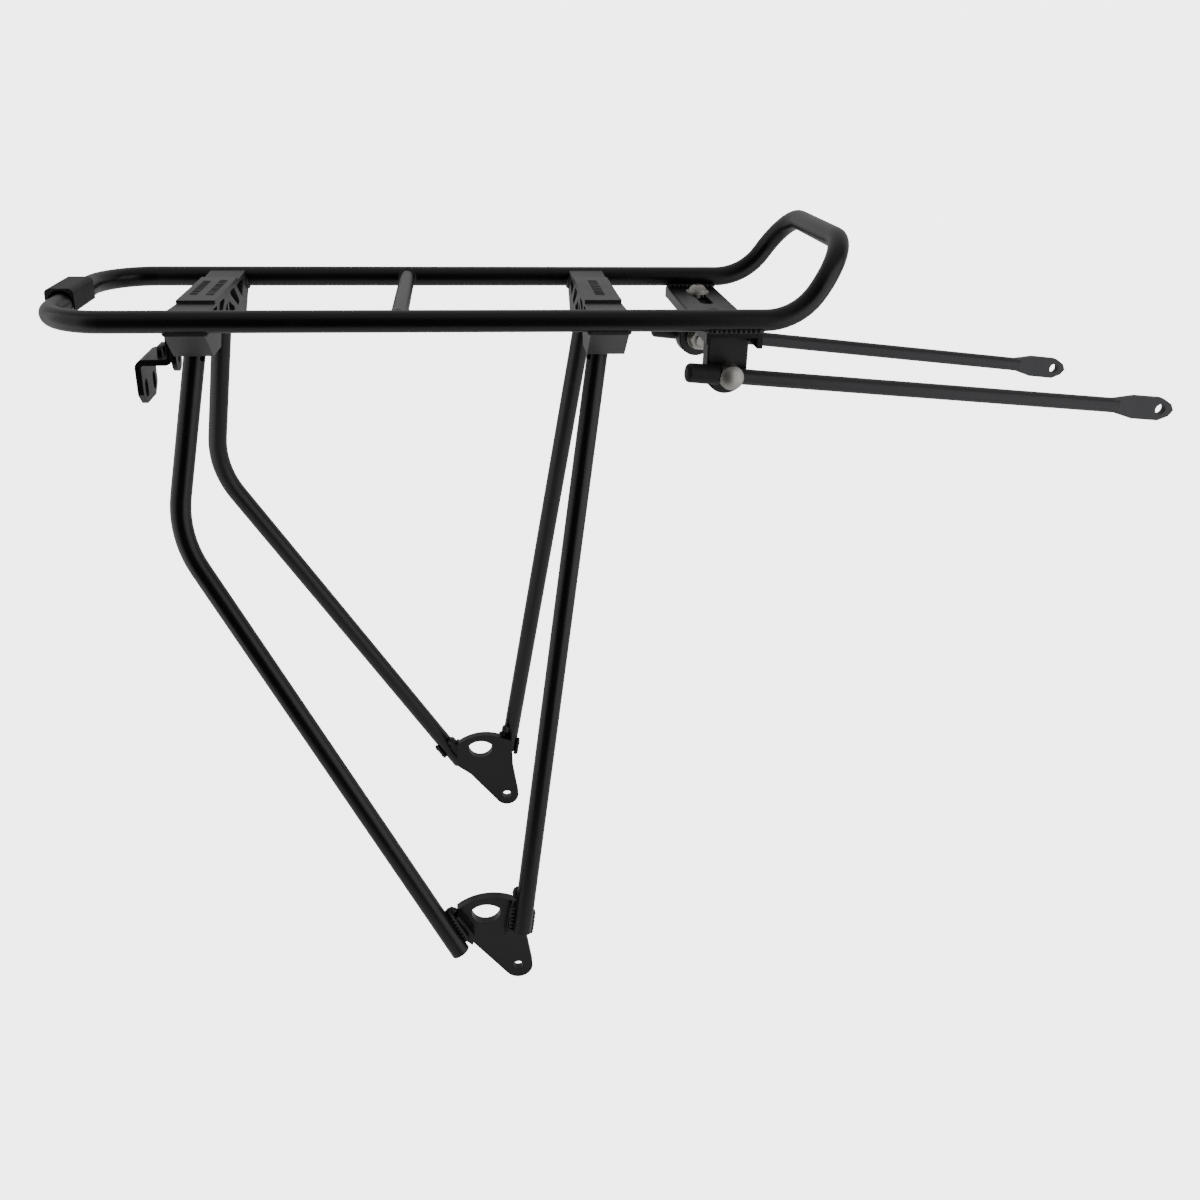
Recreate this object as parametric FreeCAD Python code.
import FreeCAD, Part
import math
import os

# Rear rack (luggage carrier) of a bicycle, in millimetres.
# +X points forward, towards the saddle.  +Y is the bicycle's left.  +Z is up.
# The origin lies on the common axis of the two dropout eyelets, halfway between them.

V = FreeCAD.Vector

# ---------------------------------------------------------------- driving sizes
# Tubing
tube_d = 10.0            # outer diameter of the loop and of the legs
tube_wall = 1.5          # wall of that tubing
tube_r = tube_d / 2
mid_bar_d = 8.0          # solid round bar across the platform
fit_gap = 0.05           # radial clearance of a running fit

# Platform loop
platform_h = 350.5       # centre of the rails above the eyelet axis
rail_half = 58.3         # centre of a rail from the mid-plane
loop_rear_x = -210.5     # centre of the rear cross run
rear_corner_r = 28.0     # bend radius of the two rear corners
hoop_start_x = 116.2     # where the rails begin to rise
hoop_bend_r = 29.0       # radius of that rise
hoop_rise = 57.4         # angle that the rails reach, degrees
hoop_lean = 7.2          # how far the risers lean towards each other, degrees
hoop_riser = 1.5         # straight length between the rise and the top corner
hoop_corner_r = 25.3     # bend radius of the two top corners
seam_gap = 1.0           # gap between the two tube ends inside the sleeve

# Bridges across the platform (one extrusion, cut to length twice)
bridge_w = 17.8          # cut length of the extrusion, along X
front_bridge_x = 43.9
rear_bridge_x = -146.1
mid_bar_x = (front_bridge_x + rear_bridge_x) / 2 - 1.0
plate_top = tube_r - 0.8                # label plate above the rail centres
plate_half = 31.0                       # half length of the label plate
lip_drop = 1.6                          # step down from the label plate to the lip
lip_rise = 1.0                          # how much the lip climbs towards the rail
leg_half_top = rail_half - 27.0         # leg centre lines at the rail height
foot_top = tube_r + 1.0                 # outer edge of the foot under the rail centre
foot_bottom = tube_r + 13.2             # underside of the foot under the rail centre
foot_outer = rail_half - 11.7           # outer edge of that underside
foot_inner = leg_half_top - 3.8         # inner edge of that underside
foot_over = 2.4                         # how far the foot reaches outside the rail centre
chord_low = tube_r + 6.6                # underside of the lower chord under the rail centre
chord_half = foot_inner - 4.5           # half length of the lower chord
chord_h = 2.3                           # height of the lower chord
plate_h = 1.4                           # thickness of the upper chord under the lip
web = 3.2                               # wall between the two middle openings

# Dropout plates
drop_half = 82.45        # middle of the plate's thickness from the mid-plane
drop_t = 5.0
eyelet_d = 6.0
eyelet_r = 7.8           # rounding of the plate about the eyelet
crown_x = -14.5          # centre of the arched top edge
crown_z = 19.0
crown_r = 28.0
crown_rear = 18.5        # ends of the arched edge from its centre
crown_front = 12.5
moon_x = -17.4           # crescent opening: ends, top and bottom
moon_z = 39.6
moon_half = 7.5
moon_rise = 3.1
moon_drop = 9.4
pad_t = 4.6              # pads that carry the legs, proud of the plate

# Legs
leg_foot_half = drop_half + 9.5         # leg centre lines at the front leg's end
front_leg_end_z = 30.0
rear_leg_end_z = 19.5
front_foot_x = 1.4                      # front leg's centre at its end
rear_foot_x = -31.4                     # rear leg's centre at its end
rear_leg_x = rear_bridge_x + 1.3        # rear leg's centre at the rail height
leg_bend_drop = 0.298 * platform_h      # drop from the rail centres to the bend
leg_bend_x = rear_leg_x - 17.8          # rear leg's centre at the bend
leg_bend_r = 55.0
leg_insert = 8.0                        # depth of a leg in its foot
leg_plug = 3.0                          # closed end of a leg tube
vent_d = 3.0                            # welding vent in each leg
vent_drop = 3.4                         # vent below the foot

# Channel that carries the stays
stay_x = 102.4
channel_half = 13.3
channel_t = 3.0
channel_wall = 2.5
channel_depth = 8.0                     # front wall, below the plate's top
channel_rear_depth = 6.0
channel_end = rail_half + 1.2           # half length
slot_w = 6.6
slot_inner = 6.0
slot_outer = rail_half - 10.3

# Stay rods
rod_d = 7.5
rod_reach = 229.5        # eye to the hole in the rod's flat
rod_tail = 20.3          # eye to the rod's rear end
flat_w = 11.6
flat_t = 3.6
flat_start = 29.0        # flat and its taper, behind the hole
taper_len = 14.0
tip_r = 7.4
tip_bevel = 2.6
stay_hole_d = 5.5
barrel_d = rod_d + 4.0   # eye that holds the rod
cap_d = rod_d + 1.7
cap_grow = 0.2           # how much wider the cap is at its mouth
cap_end_gap = 0.05       # between a cap's mouth and the eye
cap_len = rod_tail - barrel_d / 2 - cap_end_gap
cap_wall = 1.3           # end wall of the cap
cap_round = 2.2
right_toe = 3.6          # swing of each clamp about its screw, seen from above
left_toe = 6.8
right_droop = 5.6        # fall of each stay towards its front end
left_droop = 7.1

# Stay clamps
right_clamp_y = rail_half - 16.8        # clamp screws from the mid-plane
left_clamp_y = rail_half - 22.3
screw_d = 6.0
screw_head_d = 10.4
screw_head_h = 3.6
screw_key_r = 2.3
screw_len = 14.0                        # below the washer
washer_d = 12.0
washer_t = 1.2
block_w = 20.0
block_t = 9.0
block_round = 0.8
cap_gap = 0.3                           # between a cap and its block
eye_z = platform_h - 27.9               # height of the eye axis
eye_out = block_t / 2 + (cap_d + cap_grow) / 2 + cap_gap
barrel_len = eye_out - block_t / 2 + 5.0
dome_h = 2.2
nut_af = 10.0
nut_h = 6.0
tail_len = 1.5                          # thread that shows past the nut

# Sleeve over the seam of the loop
sleeve_len = 33.2
sleeve_front = tube_r + 0.7             # in front of the tube's centre
sleeve_rear = tube_r + 2.6
sleeve_top = tube_r + 2.0
sleeve_low = 3.6
sleeve_corner = 2.4
sleeve_mouth = 6.0                      # depth of the wider mouth at each end
mouth_gap = 0.7                         # room about the tube in the mouth

# Tail light bracket (bent plate), set out from the rear bridge
light_t = 3.0
light_half = 14.5                       # half width of the bent strip
light_plate_x = rear_bridge_x - 36.0    # rear face of the lower plate
light_bottom_z = platform_h - 50.5
light_foot = 8.8                        # half width of the bottom edge
light_bevel_h = 5.5                     # height over which the plate narrows
light_slot_z = platform_h - 42.9
light_slot_half = 7.9
light_slot_w = 5.5
light_slot_len = 9.0
shelf_top_z = platform_h - 27.5
riser_x = rear_bridge_x - 20.2          # rear face of the upright
bend_out_r = 4.5                        # outside of each bend
bend_in_r = 1.5                         # inside of each bend
ear_half = 22.0                         # middle of each hanging ear from the mid-plane
ear_x = rear_bridge_x - 14.9            # rear face of the ears
ear_t = 2.4
ear_r = 6.0                             # rounded lower end
ear_z = platform_h - 24.9               # centre of that rounding and of the ear's hole
ear_hole_d = 4.0
guide_x = rear_bridge_x - 26.4          # raised cable guide on the shelf
guide_t = 2.0
guide_half = 7.0
guide_h = 4.6
guide_rim = 2.6
light_screw_d = 5.0
light_screw_half = 11.0
light_screw_x = rear_bridge_x - 3.0
light_screw_len = chord_h               # into the chord
light_head_d = 9.0
light_head_h = 2.8

# ---------------------------------------------------------------- helpers
X_AXIS = V(1, 0, 0)
Y_AXIS = V(0, 1, 0)
Z_AXIS = V(0, 0, 1)
SIDES = (("right", -1), ("left", 1))


def save(node, shape):
    """Write one sub-part."""
    shape.exportStep(os.path.join("parts", node + ".step"))
    box = shape.BoundBox
    print("%-24s solids %d  volume %9.1f  x %7.1f %7.1f  y %7.1f %7.1f  z %7.1f %7.1f" % (
        node, len(shape.Solids), shape.Volume,
        box.XMin, box.XMax, box.YMin, box.YMax, box.ZMin, box.ZMax))


def mirrored(shape):
    """The same piece on the other side of the mid-plane."""
    return shape.mirror(V(0, 0, 0), Y_AXIS)


def rod(start, end, radius):
    """A round bar between two points."""
    run = end - start
    return Part.makeCylinder(radius, run.Length, start, run)


def prism(points, travel):
    """A flat outline of straight edges, pushed along a vector."""
    wire = Part.makePolygon(points + [points[0]])
    return Part.Face(wire).extrude(travel)


def box(x0, x1, y0, y1, z0, z1):
    return Part.makeBox(x1 - x0, y1 - y0, z1 - z0, V(x0, y0, z0))


def one(shape):
    """Merge faces that lie on one surface, and unwrap a lone solid."""
    clean = shape.removeSplitter()
    if len(clean.Solids) == 1:
        return clean.Solids[0]
    return clean


class Path:
    """A wire of straight runs and tangent arcs, grown from its last point."""

    def __init__(self, start, heading):
        self.at = start
        self.heading = V(heading).normalize()
        self.first = (V(start), V(self.heading))
        self.edges = []

    def run(self, length):
        end = self.at + self.heading * length
        self.edges.append(Part.LineSegment(self.at, end).toShape())
        self.at = end

    def turn(self, towards, radius, angle):
        """Bend by an angle in degrees towards a direction square to the heading."""
        def point(a):
            return (self.at + self.heading * (radius * math.sin(a))
                    + towards * (radius * (1 - math.cos(a))))
        full = math.radians(angle)
        middle = point(full / 2)
        end = point(full)
        self.edges.append(Part.Arc(self.at, middle, end).toShape())
        self.at = end
        self.heading = (self.heading * math.cos(full) + towards * math.sin(full)).normalize()

    def sweep(self, radius):
        start, direction = self.first
        circle = Part.Wire(Part.makeCircle(radius, start, direction))
        return Part.Wire(self.edges).makePipeShell([circle], True, False)


def square_to(direction, target):
    """The unit part of target that is square to direction."""
    part = target - direction * target.dot(direction)
    return part.normalize()


def tube(path_maker, wall, open_trim, closed_trim):
    """A tube: the outer sweep less the bore, which may stop short of either end."""
    outer = path_maker(0.0, 0.0).sweep(tube_r)
    bore = path_maker(open_trim, closed_trim).sweep(tube_r - wall)
    return outer.cut(bore)


# ---------------------------------------------------------------- platform loop
def half_loop_path(start_trim=0.0, end_trim=0.0):
    """Right half of the loop: from the seam, round the corner, up the hoop to the mid-plane."""
    start = V(loop_rear_x, -seam_gap / 2 + start_trim, platform_h)
    path = Path(start, V(0, -1, 0))
    path.run(rail_half - rear_corner_r - seam_gap / 2 + start_trim)
    path.turn(X_AXIS, rear_corner_r, 90)
    path.run(hoop_start_x - loop_rear_x - rear_corner_r)
    lean = math.radians(hoop_lean)
    path.turn(V(0, math.sin(lean), math.cos(lean)), hoop_bend_r, hoop_rise)
    path.run(hoop_riser)
    corner = math.degrees(math.acos(path.heading.dot(Y_AXIS)))
    path.turn(square_to(path.heading, Y_AXIS), hoop_corner_r, corner)
    path.run(-path.at.y + end_trim)
    return path


def top_loop():
    half = half_loop_path().sweep(tube_r)
    bore = half_loop_path(1.0, 1.0).sweep(tube_r - tube_wall)
    half = half.cut(bore)
    return one(half.fuse(mirrored(half)))


# ---------------------------------------------------------------- legs
def leg_half_at(z):
    """Both legs, from the mid-plane, at a height."""
    fall = (platform_h - z) / (platform_h - front_leg_end_z)
    return leg_half_top + (leg_foot_half - leg_half_top) * fall


def front_leg_point(z, side):
    fall = (platform_h - z) / (platform_h - front_leg_end_z)
    return V(front_bridge_x + (front_foot_x - front_bridge_x) * fall, side * leg_half_at(z), z)


def rear_leg_point(z, side):
    drop = platform_h - z
    if drop <= leg_bend_drop:
        x = rear_leg_x + (leg_bend_x - rear_leg_x) * drop / leg_bend_drop
    else:
        rest = platform_h - rear_leg_end_z - leg_bend_drop
        x = leg_bend_x + (rear_foot_x - leg_bend_x) * (drop - leg_bend_drop) / rest
    return V(x, side * leg_half_at(z), z)


leg_top_z = platform_h - foot_bottom + leg_insert


def front_leg_path(side, start_trim=0.0, end_trim=0.0):
    top = front_leg_point(leg_top_z, side)
    foot = front_leg_point(front_leg_end_z, side)
    heading = (foot - top).normalize()
    path = Path(top - heading * start_trim, heading)
    path.run((foot - top).Length + start_trim - end_trim)
    return path


def rear_leg_path(side, start_trim=0.0, end_trim=0.0):
    top = rear_leg_point(leg_top_z, side)
    knee = rear_leg_point(platform_h - leg_bend_drop, side)
    foot = rear_leg_point(rear_leg_end_z, side)
    upper = (knee - top).normalize()
    lower = (foot - knee).normalize()
    angle = math.acos(upper.dot(lower))
    tangent = leg_bend_r * math.tan(angle / 2)
    path = Path(top - upper * start_trim, upper)
    path.run((knee - top).Length - tangent + start_trim)
    path.turn(square_to(upper, lower), leg_bend_r, math.degrees(angle))
    path.run((foot - knee).Length - tangent - end_trim)
    return path


def leg(path_maker, side, vent_x):
    """A leg tube, open inside its foot, closed at the dropout, with a welding vent."""
    outer = path_maker(side).sweep(tube_r)
    bore = path_maker(side, 1.0, leg_plug).sweep(tube_r - tube_wall)
    shape = outer.cut(bore)
    start, heading = path_maker(side).first
    centre = start + heading * (leg_insert + vent_drop)
    vent = Part.makeCylinder(vent_d / 2, tube_d, centre, V(vent_x, side * 0.6, 0))
    return one(shape.cut(vent))


# ---------------------------------------------------------------- bridges
def yz_points(pairs):
    return [V(0, y, platform_h + z) for y, z in pairs]


def bridge_half_face():
    """Half of the extrusion's outline, on the +Y side of the mid-plane."""
    seat_top = plate_top - lip_drop + lip_rise
    seat_top_y = rail_half - math.sqrt(tube_r ** 2 - seat_top ** 2)
    seat_low_y = rail_half + foot_over
    seat_low = -math.sqrt(tube_r ** 2 - foot_over ** 2)
    before = yz_points([
        (0, -chord_low), (0, plate_top), (plate_half, plate_top),
        (plate_half, plate_top - lip_drop), (seat_top_y, seat_top)])
    seat = Part.Arc(before[-1],
                    V(0, rail_half - tube_r * math.cos(math.radians(35)),
                      platform_h - tube_r * math.sin(math.radians(35))),
                    V(0, seat_low_y, platform_h + seat_low)).toShape()
    after = yz_points([
        (seat_low_y, seat_low), (seat_low_y + 0.2, -foot_top), (foot_outer, -foot_bottom),
        (foot_inner, -foot_bottom), (chord_half, -chord_low), (0, -chord_low)])
    edges = [Part.LineSegment(a, b).toShape() for a, b in zip(before, before[1:])]
    edges.append(seat)
    edges += [Part.LineSegment(a, b).toShape() for a, b in zip(after, after[1:])]
    return Part.Face(Part.Wire(edges))


def truss_openings():
    """Three rounded openings through each half of the extrusion."""
    low = chord_h - chord_low
    high = plate_top - lip_drop - plate_h
    outlines = [
        [(web / 2, high - 3.2), (chord_half - 3.0, low), (web / 2, low)],
        [(5.0, high), (chord_half - 3.5, high), (foot_inner + 3.5, low + 1.6),
         (foot_inner - 1.5, low)],
        [(chord_half + 1.5, high), (rail_half - tube_r - 5.5, high), (foot_outer - 7.5, low + 2.2)],
    ]
    holes = []
    for outline in outlines:
        start = [V(-bridge_w, y, platform_h + z) for y, z in outline]
        solid = prism(start, V(2 * bridge_w, 0, 0))
        along_x = [e for e in solid.Edges if e.BoundBox.XLength > bridge_w]
        holes.append(solid.makeFillet(1.0, along_x))
    return holes


def bridge(centre_x, leg_path):
    half = bridge_half_face().extrude(V(bridge_w, 0, 0))
    half.translate(V(-bridge_w / 2, 0, 0))
    for hole in truss_openings():
        half = half.cut(hole)
    body = one(half.fuse(mirrored(half)))
    body.translate(V(centre_x, 0, 0))
    for name, side in SIDES:
        body = body.cut(leg_path(side).sweep(tube_r))
    return body


def rail_run(side):
    return rod(V(loop_rear_x + rear_corner_r, side * rail_half, platform_h),
               V(hoop_start_x, side * rail_half, platform_h), tube_r)


def middle_bar():
    bar = rod(V(mid_bar_x, -rail_half, platform_h), V(mid_bar_x, rail_half, platform_h),
              mid_bar_d / 2)
    for name, side in SIDES:
        bar = bar.cut(rail_run(side))
    return max(bar.Solids, key=lambda solid: solid.Volume)


# ---------------------------------------------------------------- dropout plates
def dropout_outline():
    """Side view of the plate: crown arc, run to the eyelet, and round it."""
    rear = V(crown_x - crown_rear, 0, crown_z + math.sqrt(crown_r ** 2 - crown_rear ** 2))
    front = V(crown_x + crown_front, 0, crown_z + math.sqrt(crown_r ** 2 - crown_front ** 2))
    top = V(crown_x, 0, crown_z + crown_r)
    notch = V(-24.4, 0, 17.4)
    behind = rear_leg_point(24.0, 1)
    behind = V(behind.x + 1.0, 0, behind.z)
    shoulder = V(4.2, 0, 21.7)

    def tangent_point(p, turn):
        """Where a line from p touches the rounding about the eyelet."""
        reach = math.hypot(p.x, p.z)
        swing = math.acos(eyelet_r / reach) * turn
        a = math.atan2(p.z, p.x) + swing
        return V(eyelet_r * math.cos(a), 0, eyelet_r * math.sin(a))

    low_rear = tangent_point(notch, 1)
    low_front = tangent_point(shoulder, -1)
    corners = [front, V(3.4, 0, 42.0), shoulder, low_front]
    edges = [Part.Arc(rear, top, front).toShape()]
    edges += [Part.LineSegment(a, b).toShape() for a, b in zip(corners, corners[1:])]
    edges.append(Part.Arc(low_front, V(0, 0, -eyelet_r), low_rear).toShape())
    corners = [low_rear, notch, behind, rear]
    edges += [Part.LineSegment(a, b).toShape() for a, b in zip(corners, corners[1:])]
    return Part.Face(Part.Wire(edges))


def crescent():
    left = V(moon_x - moon_half, 0, moon_z)
    right = V(moon_x + moon_half, 0, moon_z)
    upper = Part.Arc(left, V(moon_x, 0, moon_z + moon_rise), right).toShape()
    lower = Part.Arc(right, V(moon_x, 0, moon_z - moon_drop), left).toShape()
    return Part.Face(Part.Wire([upper, lower]))


def dropout_plate():
    """Left plate, with the pads that the two legs are welded to."""
    inner = drop_half - drop_t / 2
    outer = drop_half + drop_t / 2
    plate = dropout_outline().extrude(V(0, drop_t, 0))
    plate.translate(V(0, inner, 0))
    front_pad = [V(-7.6, outer, 25.0), V(3.9, outer, 24.0), V(3.2, outer, 42.5), V(-4.6, outer, 44.0)]
    rear_pad = [V(-24.8, outer, 19.6), V(-24.0, outer, 26.0), V(-32.0, outer, 39.5),
                V(-37.5, outer, 36.0), V(-31.5, outer, 25.5)]
    for pad in (front_pad, rear_pad):
        plate = plate.fuse(prism(pad, V(0, pad_t, 0)))
    hole = crescent().extrude(V(0, 3 * drop_t, 0))
    hole.translate(V(0, inner - drop_t, 0))
    plate = plate.cut(hole)
    plate = plate.cut(Part.makeCylinder(eyelet_d / 2, 3 * drop_t, V(0, inner - drop_t, 0), Y_AXIS))
    plate = plate.cut(front_leg_path(1).sweep(tube_r))
    plate = plate.cut(rear_leg_path(1).sweep(tube_r))
    return one(max(plate.Solids, key=lambda solid: solid.Volume))


# ---------------------------------------------------------------- stay channel
def oblong(x, y, length, width, z0, z1, along):
    """A slot cutter with round ends, upright, long along Y or along X."""
    straight = length - width
    step = Y_AXIS if along == "y" else X_AXIS
    centre = V(x, y, z0)
    a = centre - step * (straight / 2)
    b = centre + step * (straight / 2)
    ends = [Part.makeCylinder(width / 2, z1 - z0, p) for p in (a, b)]
    if along == "y":
        bar = box(x - width / 2, x + width / 2, a.y, b.y, z0, z1)
    else:
        bar = box(a.x, b.x, y - width / 2, y + width / 2, z0, z1)
    return bar.fuse(ends)


def stay_channel():
    """Plate under the rails with two turned-down walls and a slot for each clamp."""
    top = platform_h - tube_r
    x0 = stay_x - channel_half
    x1 = stay_x + channel_half
    body = box(x0, x1, -channel_end, channel_end, top - channel_depth, top)
    room = box(x0 + channel_wall, x1 - channel_wall, -channel_end - 1, channel_end + 1,
               top - channel_depth - 1, top - channel_t)
    body = body.cut(room)
    body = body.cut(box(x0 - 1, stay_x, -channel_end - 1, channel_end + 1,
                        top - channel_depth - 1, top - channel_rear_depth))
    long_edges = [e for e in body.Edges
                  if e.BoundBox.YLength > channel_end and abs(e.BoundBox.ZMin - top) < 0.01]
    body = body.makeFillet(1.5, long_edges)
    for side in (-1, 1):
        middle = side * (slot_inner + slot_outer) / 2
        body = body.cut(oblong(stay_x, middle, slot_outer - slot_inner, slot_w,
                               top - channel_depth, top + 1, "y"))
    return one(body)


# ---------------------------------------------------------------- stay clamps
channel_top = platform_h - tube_r
block_top = channel_top - channel_t


def dome(diameter, height, base, direction):
    """A shallow domed cap on a round base."""
    r = diameter / 2
    ball_r = (r * r + height * height) / (2 * height)
    ball = Part.makeSphere(ball_r, base - direction * (ball_r - height))
    return ball.common(Part.makeCylinder(r, height + 1, base, direction))


def hexagon(af, height, base, direction, bore):
    """A hexagon nut along Y with a bore."""
    r = af / math.sqrt(3)
    corners = []
    for step in range(6):
        a = math.radians(60 * step)
        corners.append(base + V(r * math.cos(a), 0, r * math.sin(a)))
    nut = prism(corners, direction * height)
    return nut.cut(Part.makeCylinder(bore, height, base, direction))


def clamp_parts(side, clamp_y):
    """One clamp with its stay, square to the rack, with its screw clamp_y from the mid-plane."""
    y = side * clamp_y
    out = Y_AXIS * side
    axis = V(stay_x, y, 0)
    parts = {}
    # clamp screw and washer
    washer_base = V(stay_x, y, channel_top)
    washer = Part.makeCylinder(washer_d / 2, washer_t, washer_base)
    parts["clamp_washer"] = washer.cut(Part.makeCylinder(screw_d / 2, washer_t, washer_base))
    head_base = V(stay_x, y, channel_top + washer_t)
    head = dome(screw_head_d, screw_head_h, head_base, Z_AXIS)
    turns = [math.radians(60 * k) for k in range(6)]
    socket = prism([head_base + V(screw_key_r * math.cos(a), screw_key_r * math.sin(a),
                                  screw_head_h - 2.0) for a in turns], V(0, 0, 3))
    shank = Part.makeCylinder(screw_d / 2, screw_len + washer_t,
                              head_base - V(0, 0, screw_len + washer_t))
    parts["clamp_screw"] = one(head.cut(socket).fuse(shank))
    # block: flat top in the channel, round bottom about the eye
    r = block_w / 2
    start = y - block_t / 2
    block = box(stay_x - r, stay_x + r, start, start + block_t, eye_z, block_top)
    block = block.fuse(Part.makeCylinder(r, block_t, V(stay_x, start, eye_z), Y_AXIS))
    block = one(block)
    upright = [e for e in block.Edges if e.BoundBox.ZLength > 15 and e.BoundBox.YLength < 0.01]
    block = block.makeFillet(block_round, upright)
    tapped = Part.makeCylinder(screw_d / 2 + fit_gap, screw_len - channel_t + 1.0,
                               V(stay_x, y, block_top - screw_len + channel_t - 1.0))
    cross = Part.makeCylinder(screw_d / 2 + fit_gap, 3 * block_t,
                              V(stay_x, start - block_t, eye_z), Y_AXIS)
    parts["stay_block"] = block.cut(tapped).cut(cross)
    # eye bolt: barrel with a cross hole, dome outside, thread inside
    seat = V(stay_x, y, eye_z) + out * (block_t / 2)
    barrel = Part.makeCylinder(barrel_d / 2, barrel_len, seat, out)
    dome_cap = dome(barrel_d, dome_h, seat + out * barrel_len, out)
    thread_len = block_t + washer_t + nut_h + tail_len
    thread = Part.makeCylinder(screw_d / 2, thread_len, seat, out * -1)
    rod_axis = V(stay_x, y + side * eye_out, eye_z)
    cross_hole = Part.makeCylinder(rod_d / 2 + fit_gap, 2 * barrel_d,
                                   rod_axis - X_AXIS * barrel_d, X_AXIS)
    parts["eye_bolt"] = one(barrel.fuse(dome_cap).fuse(thread).cut(cross_hole))
    inside = V(stay_x, y, eye_z) - out * (block_t / 2)
    ring = Part.makeCylinder(washer_d / 2, washer_t, inside, out * -1)
    parts["eye_washer"] = ring.cut(Part.makeCylinder(screw_d / 2, washer_t, inside, out * -1))
    parts["eye_nut"] = hexagon(nut_af, nut_h, inside - out * washer_t, out * -1, screw_d / 2)
    # stay rod, straight along X, with its flat and hole in front
    tail = rod_axis - X_AXIS * rod_tail
    hole = rod_axis + X_AXIS * rod_reach
    flat_x = hole.x - flat_start + taper_len
    stay = rod(tail, V(flat_x - taper_len + 5.0, rod_axis.y, eye_z), rod_d / 2)
    core = rod_d / 2 * math.sqrt(0.5)
    begin = flat_x - taper_len
    tall = [V(begin, 0, -core), V(flat_x, 0, -flat_w / 2), V(hole.x, 0, -flat_w / 2),
            V(hole.x + tip_r * 0.72, 0, tip_bevel - flat_w / 2), V(hole.x + tip_r, 0, 0),
            V(hole.x + tip_r * 0.72, 0, flat_w / 2 - tip_bevel), V(hole.x, 0, flat_w / 2),
            V(flat_x, 0, flat_w / 2), V(begin, 0, core)]
    thin = [V(begin, -core, 0), V(flat_x, -flat_t / 2, 0), V(hole.x + 2 * tip_r, -flat_t / 2, 0),
            V(hole.x + 2 * tip_r, flat_t / 2, 0), V(flat_x, flat_t / 2, 0), V(begin, core, 0)]
    side_view = prism([p + V(0, rod_axis.y - rod_d, eye_z) for p in tall], V(0, 2 * rod_d, 0))
    plan_view = prism([p + V(0, rod_axis.y, eye_z - flat_w) for p in thin], V(0, 0, 2 * flat_w))
    stay = stay.fuse(side_view.common(plan_view))
    stay = stay.cut(Part.makeCylinder(stay_hole_d / 2, 2 * rod_d,
                                      hole - Y_AXIS * rod_d, Y_AXIS))
    parts["stay_rod"] = one(stay)
    # cap over the rear end, slightly tapered, with a round end
    cap_end = tail - X_AXIS * cap_wall
    skirt = Part.makeCone(cap_d / 2, (cap_d + cap_grow) / 2, cap_len + cap_wall, cap_end, X_AXIS)
    rim = [e for e in skirt.Edges if e.BoundBox.XLength < 0.01 and e.BoundBox.XMin < cap_end.x + 0.1]
    skirt = skirt.makeFillet(cap_round, rim)
    parts["stay_cap"] = skirt.cut(rod(tail, tail + X_AXIS * (cap_len + 1), rod_d / 2))
    return parts, axis, rod_axis


RIDES_EYE = ("eye_bolt", "eye_washer", "eye_nut", "stay_rod", "stay_cap")
RIDES_SCREW = ("clamp_screw", "clamp_washer")


def placed_clamp(side, clamp_y, toe, droop):
    """The clamp swung about its screw by toe, and its stay lowered about the eye by droop."""
    parts, axis, rod_axis = clamp_parts(side, clamp_y)
    for name, shape in parts.items():
        if name in RIDES_EYE:
            shape.rotate(rod_axis, Y_AXIS, droop)
        if name not in RIDES_SCREW:
            shape.rotate(axis, Z_AXIS, toe)
    return parts


# ---------------------------------------------------------------- loop sleeve
def sleeve_section(grow, top_cut):
    """Rounded section about the tube's centre, in the XZ plane, as a face."""
    x0 = loop_rear_x - sleeve_rear - grow
    x1 = loop_rear_x + sleeve_front + grow
    z0 = platform_h - sleeve_low
    z1 = platform_h + sleeve_top + grow - top_cut
    c = sleeve_corner
    k = c * (1 - math.sqrt(0.5))
    y = -sleeve_len / 2
    edges = [
        Part.LineSegment(V(x0, y, z0), V(x0, y, z1 - c)).toShape(),
        Part.Arc(V(x0, y, z1 - c), V(x0 + k, y, z1 - k), V(x0 + c, y, z1)).toShape(),
        Part.LineSegment(V(x0 + c, y, z1), V(x1 - c, y, z1)).toShape(),
        Part.Arc(V(x1 - c, y, z1), V(x1 - k, y, z1 - k), V(x1, y, z1 - c)).toShape(),
        Part.LineSegment(V(x1, y, z1 - c), V(x1, y, z0)).toShape(),
        Part.LineSegment(V(x1, y, z0), V(x0, y, z0)).toShape(),
    ]
    return Part.Face(Part.Wire(edges))


def loop_sleeve():
    """Saddle-shaped sleeve over the tube ends, with a wider mouth at each end."""
    body = sleeve_section(0, 0).extrude(V(0, sleeve_len, 0))
    y0 = -sleeve_len / 2 - 1
    body = body.cut(Part.makeCylinder(tube_r, sleeve_len + 2, V(loop_rear_x, y0, platform_h), Y_AXIS))
    body = body.cut(box(loop_rear_x - tube_r, loop_rear_x + tube_r, y0, -y0,
                        platform_h - sleeve_low - 1, platform_h))
    for start in (y0, sleeve_len / 2 - sleeve_mouth):
        centre = V(loop_rear_x - 0.8, start, platform_h + 0.5)
        body = body.cut(Part.makeCylinder(tube_r + mouth_gap, sleeve_mouth + 1, centre, Y_AXIS))
    return one(max(body.Solids, key=lambda solid: solid.Volume))


# ---------------------------------------------------------------- tail light bracket
def bend_edges(shape, x, z):
    """Edges along Y that pass through a corner of the side view."""
    return [e for e in shape.Edges
            if e.BoundBox.YLength > 1 and abs(e.BoundBox.XMin - x) < 0.01
            and abs(e.BoundBox.XMax - x) < 0.01 and abs(e.BoundBox.ZMin - z) < 0.01
            and abs(e.BoundBox.ZMax - z) < 0.01]


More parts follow.
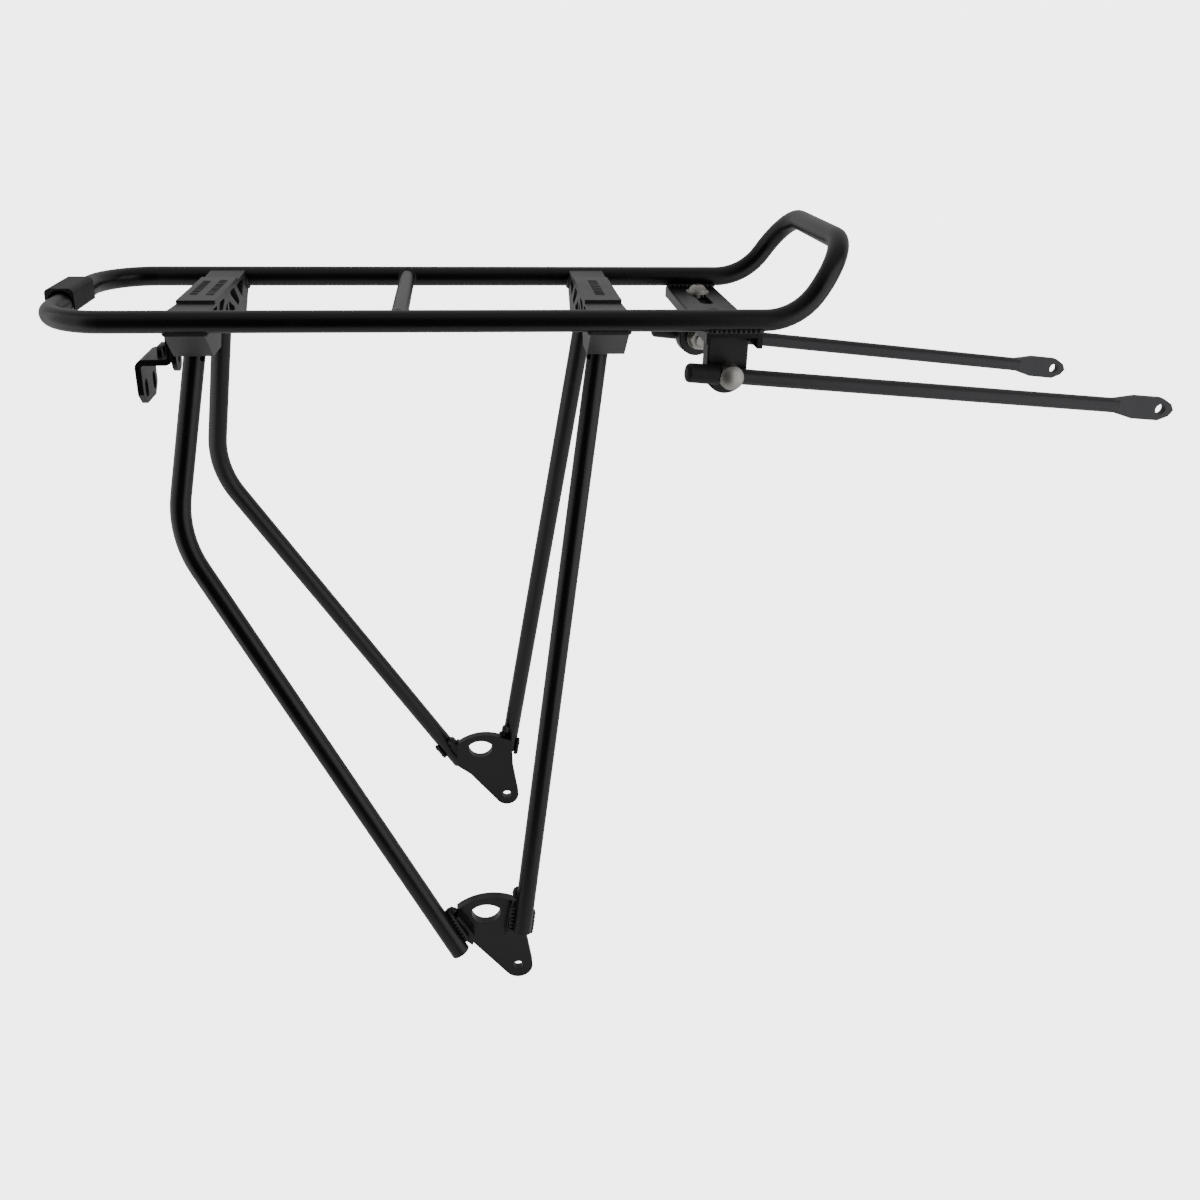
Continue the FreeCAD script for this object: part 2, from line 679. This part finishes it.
def light_bracket():
    """Bent strip: lower plate with two slots, shelf, upright, and a flange under the rear bridge."""
    t = light_t
    w = light_half
    flange_top = platform_h - chord_low
    flange_end = light_screw_x + 6.0
    shelf_low = shelf_top_z - t
    x0 = light_plate_x
    x1 = riser_x
    profile = [
        (x0, light_bottom_z), (x0, shelf_top_z), (x1, shelf_top_z), (x1, flange_top),
        (flange_end, flange_top), (flange_end, flange_top - t), (x1 + t, flange_top - t),
        (x1 + t, shelf_low), (x0 + t, shelf_low), (x0 + t, light_bottom_z)]
    body = prism([V(x, -w, z) for x, z in profile], V(0, 2 * w, 0))
    for x, z in ((x0, shelf_top_z), (x1 + t, shelf_low), (x1, flange_top)):
        body = body.makeFillet(bend_out_r, bend_edges(body, x, z))
    for x, z in ((x0 + t, shelf_low), (x1, shelf_top_z), (x1 + t, flange_top - t)):
        body = body.makeFillet(bend_in_r, bend_edges(body, x, z))
    # wider strip behind the bridge, for the two hanging ears
    strip_half = ear_half + ear_r
    body = body.fuse(box(x1 + bend_out_r, rear_bridge_x - bridge_w / 2 - 1.0, -strip_half,
                         strip_half, flange_top - t, flange_top))
    for side in (-1, 1):
        # the lower plate narrows towards its bottom edge
        outside = [V(x0 - 1, side * (w + 1), light_bottom_z - 1),
                   V(x0 - 1, side * light_foot, light_bottom_z - 1),
                   V(x0 - 1, side * light_foot, light_bottom_z),
                   V(x0 - 1, side * w, light_bottom_z + light_bevel_h),
                   V(x0 - 1, side * (w + 1), light_bottom_z + light_bevel_h)]
        body = body.cut(prism(outside, V(t + 2, 0, 0)))
        slot = oblong(-light_slot_z, side * light_slot_half, light_slot_len, light_slot_w,
                      -1, t + 1, "x")
        slot.rotate(V(0, 0, 0), Y_AXIS, 90)
        slot.translate(V(x0, 0, 0))
        body = body.cut(slot)
        ear = box(ear_x, ear_x + ear_t, side * ear_half - ear_r, side * ear_half + ear_r,
                  ear_z, flange_top - t)
        centre = V(ear_x, side * ear_half, ear_z)
        ear = ear.fuse(Part.makeCylinder(ear_r, ear_t, centre, X_AXIS))
        body = body.fuse(ear.cut(Part.makeCylinder(ear_hole_d / 2, ear_t, centre, X_AXIS)))
        body = body.cut(Part.makeCylinder(light_screw_d / 2, 3 * t,
                                          V(light_screw_x, side * light_screw_half,
                                            flange_top - 2 * t)))
    # cable guide: a low arch across the shelf
    guide = box(guide_x, guide_x + guide_t, -guide_half, guide_half, shelf_low,
                shelf_top_z + guide_h)
    corners = [e for e in guide.Edges
               if e.BoundBox.XLength > guide_t / 2 and e.BoundBox.ZMin > shelf_top_z]
    guide = guide.makeFillet(3.0, corners)
    opening = box(guide_x - 1, guide_x + guide_t + 1, guide_rim - guide_half,
                  guide_half - guide_rim, shelf_top_z, shelf_top_z + guide_h - guide_rim / 2)
    return one(body.fuse(guide.cut(opening)))


def light_screws():
    """Two pan-head screws that hold the bracket's flange to the lower chord."""
    flange_low = platform_h - chord_low - light_t
    screws = []
    for side in (-1, 1):
        base = V(light_screw_x, side * light_screw_half, flange_low)
        head = dome(light_head_d, light_head_h, base, Z_AXIS * -1)
        shank = Part.makeCylinder(light_screw_d / 2, light_t + light_screw_len, base)
        screws.append(one(head.fuse(shank)))
    return Part.makeCompound(screws)


# ---------------------------------------------------------------- build
os.makedirs("parts", exist_ok=True)

save("top_loop", top_loop())
save("middle_bar", middle_bar())
save("loop_sleeve", loop_sleeve())
save("front_bridge", bridge(front_bridge_x, front_leg_path))

rear_bridge = bridge(rear_bridge_x, rear_leg_path)
for screw_side in (-1, 1):
    rear_bridge = rear_bridge.cut(Part.makeCylinder(
        light_screw_d / 2, light_screw_len,
        V(light_screw_x, screw_side * light_screw_half, platform_h - chord_low)))
save("rear_bridge", rear_bridge)
save("tail_light_bracket", light_bracket())
save("bracket_screws", light_screws())
save("stay_channel", stay_channel())

plate = dropout_plate()
for name, side in SIDES:
    save(name + "_front_leg", leg(front_leg_path, side, -1.0))
    save(name + "_rear_leg", leg(rear_leg_path, side, 1.0))
    save(name + "_dropout_plate", plate if side > 0 else mirrored(plate))

for name, side, clamp_y, toe, droop in (("right", -1, right_clamp_y, right_toe, right_droop),
                                        ("left", 1, left_clamp_y, left_toe, left_droop)):
    for part_name, shape in placed_clamp(side, clamp_y, toe, droop).items():
        save(name + "_" + part_name, shape)
